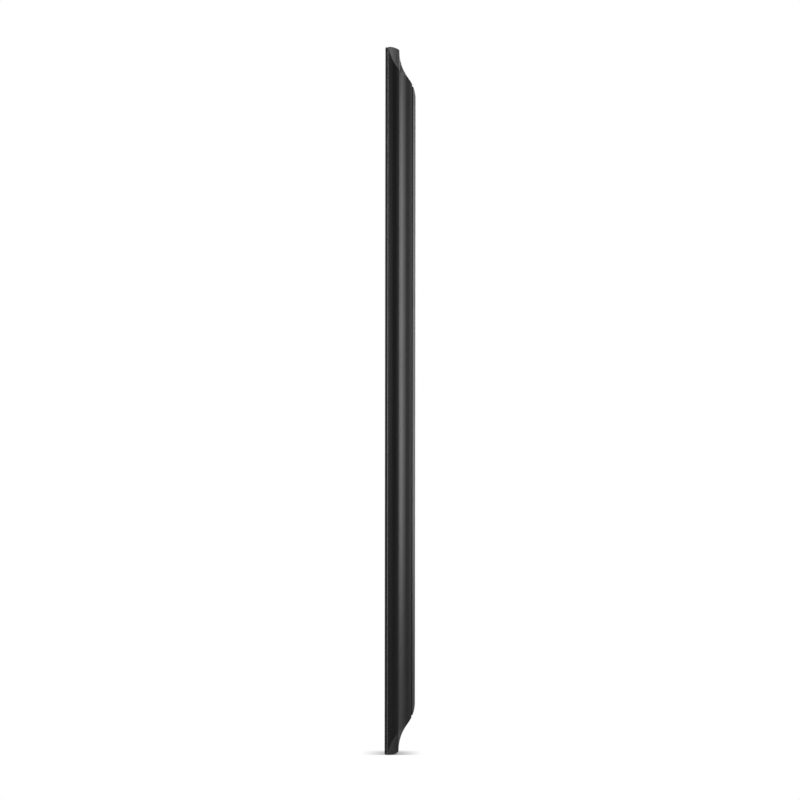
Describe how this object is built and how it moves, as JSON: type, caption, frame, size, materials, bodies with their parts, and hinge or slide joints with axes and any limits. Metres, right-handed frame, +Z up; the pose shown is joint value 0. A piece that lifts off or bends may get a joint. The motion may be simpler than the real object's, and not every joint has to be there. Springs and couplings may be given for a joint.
{
  "type": "digital photo frame",
  "caption": "Thin portrait digital photo frame for a wall: flat glass front, ogee-section black shell, flat back with push buttons, socket bay and wall-bracket inserts.",
  "frame": {"origin": "middle of the wall-bracket pattern on the flat back, in the plane of the wall", "axes": "+Y out of the back towards the wall, the glass faces -Y, +Z up, +X to the viewer's right"},
  "size_m": [0.3518, 0.024, 0.5602],
  "materials": {
    "cover_glass": "polished sheet glass, black print behind the border",
    "shell_plastic": "satin black moulded plastic",
    "cover_plastic": "fine-grained black moulded plastic",
    "button_plastic": "satin black",
    "bay_plastic": "moulded black",
    "tape": "black acrylic foam tape",
    "foam": "black foam",
    "sheet_steel": "zinc-plated sheet",
    "cell_glass": "polarised glass",
    "light_film": "white optical film",
    "guide_acrylic": "clear acrylic",
    "white_mould": "white moulded plastic",
    "circuit_board": "green solder mask",
    "black_mould": "black moulded plastic",
    "screw_steel": "black-plated steel",
    "brass": "turned brass",
    "socket_metal": "plated sheet",
    "lead_black": "flexible insulation",
    "ribbon_film": "flat ribbon"
  },
  "bodies": {
    "frame": {"front_glass": "cover_glass", "glass_tape": "tape", "panel_gasket": "foam", "panel_bezel": "sheet_steel", "lcd_cell": "cell_glass", "prism_sheet": "light_film", "diffuser_sheet": "light_film", "light_guide": "guide_acrylic", "light_bar": "circuit_board", "reflector_sheet": "light_film", "panel_frame": "white_mould", "panel_tray": "sheet_steel", "panel_screws": "screw_steel", "rear_shell": "shell_plastic", "rear_cover": "cover_plastic", "cover_screws": "screw_steel", "wall_inserts": "brass", "connector_bay": "bay_plastic", "main_board": "circuit_board", "board_standoffs": "brass", "board_screws": "screw_steel", "board_chips": "black_mould", "shield_can": "socket_metal", "board_headers": "white_mould", "power_inlet": "black_mould", "data_socket": "socket_metal", "card_socket": "socket_metal", "timing_board": "circuit_board", "panel_ribbon": "ribbon_film", "backlight_lead": "lead_black", "speaker_left": "black_mould", "speaker_right": "black_mould", "speaker_gaskets": "foam", "speaker_leads": "lead_black", "key_board": "circuit_board", "key_switches": "black_mould", "key_screws": "screw_steel", "key_ribbon": "ribbon_film", "wifi_antenna": "circuit_board", "antenna_lead": "lead_black"},
    "button_power": {"button_power": "button_plastic"},
    "button_menu": {"button_menu": "button_plastic"},
    "button_up": {"button_up": "button_plastic"},
    "button_down": {"button_down": "button_plastic"},
    "button_select": {"button_select": "button_plastic"}
  },
  "joints": [
    {"name": "power_press", "type": "slide", "parent": "frame", "child": "button_power", "axis": [0, -1, 0], "range_m": [0, 0.0005], "stiffness_N_per_m": 700},
    {"name": "menu_press", "type": "slide", "parent": "frame", "child": "button_menu", "axis": [0, -1, 0], "range_m": [0, 0.0005], "stiffness_N_per_m": 700},
    {"name": "up_press", "type": "slide", "parent": "frame", "child": "button_up", "axis": [0, -1, 0], "range_m": [0, 0.0005], "stiffness_N_per_m": 700},
    {"name": "down_press", "type": "slide", "parent": "frame", "child": "button_down", "axis": [0, -1, 0], "range_m": [0, 0.0005], "stiffness_N_per_m": 700},
    {"name": "select_press", "type": "slide", "parent": "frame", "child": "button_select", "axis": [0, -1, 0], "range_m": [0, 0.0005], "stiffness_N_per_m": 700}
  ]
}
